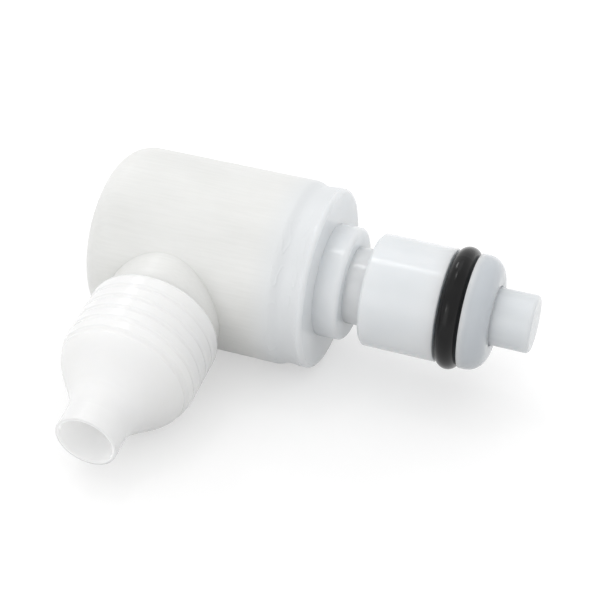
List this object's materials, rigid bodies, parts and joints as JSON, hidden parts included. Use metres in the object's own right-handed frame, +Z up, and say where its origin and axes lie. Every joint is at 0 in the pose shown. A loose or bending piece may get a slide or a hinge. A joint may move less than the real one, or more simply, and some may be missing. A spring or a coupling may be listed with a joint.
{
  "type": "plastic quick disconnect coupling",
  "caption": "Male half of a plastic quick disconnect tubing coupling, in elbow form, with a sprung shut-off valve stem and a nut for tube.",
  "frame": {"origin": "on the floor, under the middle of the whole part's box", "axes": "+X along the main axis toward the plug end, -Y the side that the tube branch leaves by, +Z up as the part lies at rest"},
  "size_m": [0.0522, 0.0434, 0.0222],
  "materials": {
    "natural_plastic": "milky natural polypropylene, faintly brushed",
    "white_plastic": "cool white polypropylene, satin",
    "stem_plastic": "white moulded plastic, satin",
    "seal_rubber": "black rubber, slightly glossy",
    "spring_steel": "drawn stainless wire"
  },
  "bodies": {
    "coupling": {"elbow_body": "natural_plastic", "coupling_insert": "white_plastic", "nose_o_ring": "seal_rubber", "valve_spring": "spring_steel"},
    "stem": {"valve_stem": "stem_plastic", "stem_o_ring": "seal_rubber"},
    "nut": {"tube_nut": "natural_plastic"}
  },
  "joints": [
    {"name": "stem_slide", "type": "slide", "parent": "coupling", "child": "stem", "axis": [-1, 0, 0], "range_m": [0, 0.004], "stiffness_N_per_m": 800, "springref_m": -0.005, "deforming": ["valve_spring"]},
    {"name": "nut_turn", "type": "hinge", "parent": "coupling", "child": "nut", "pos_m": [-0.01525, -0.01757, 0.00662], "axis": [0, -0.9876, -0.157], "range_deg": [0, 360]}
  ]
}
